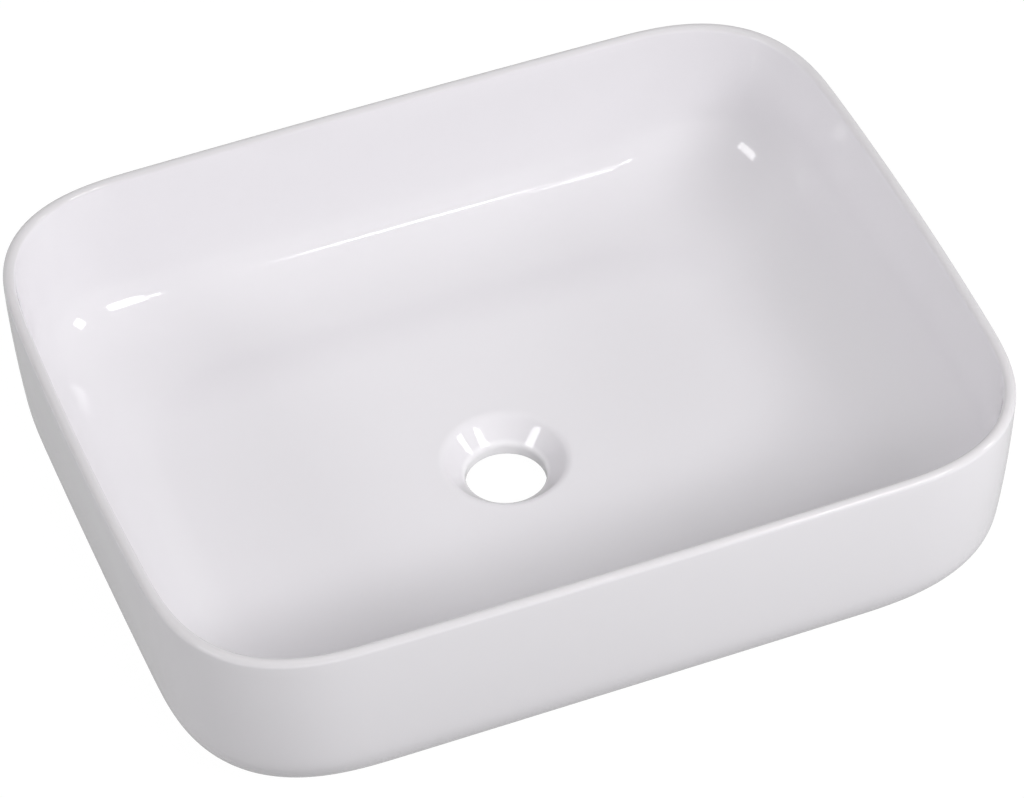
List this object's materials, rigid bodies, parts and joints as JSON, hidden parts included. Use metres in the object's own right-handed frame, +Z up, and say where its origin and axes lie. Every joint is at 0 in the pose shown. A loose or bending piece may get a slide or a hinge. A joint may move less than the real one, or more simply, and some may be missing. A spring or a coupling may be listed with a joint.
{
  "type": "countertop basin",
  "caption": "Rectangular white ceramic bowl with rounded corners, a thin rounded rim, a dished floor and an open waste hole, standing on small pads under its foot ring.",
  "frame": {"origin": "on the worktop, in the plane of the four foot pads, under the middle of the bowl and on the axis of the waste hole", "axes": "+X along the long sides to the right, +Y from the front rim to the back rim, +Z up out of the bowl"},
  "size_m": [0.5, 0.4, 0.1315],
  "materials": {
    "white_glaze": "high-gloss white glaze all over, apart from the matt unglazed face of the foot ring and the bare clay under the floor",
    "clear_pad": "soft clear elastomer, slightly cloudy, with a satin surface"
  },
  "bodies": {
    "root": {"basin_body": "white_glaze", "foot_pad_front_left": "clear_pad", "foot_pad_front_right": "clear_pad", "foot_pad_back_left": "clear_pad", "foot_pad_back_right": "clear_pad"}
  },
  "joints": []
}
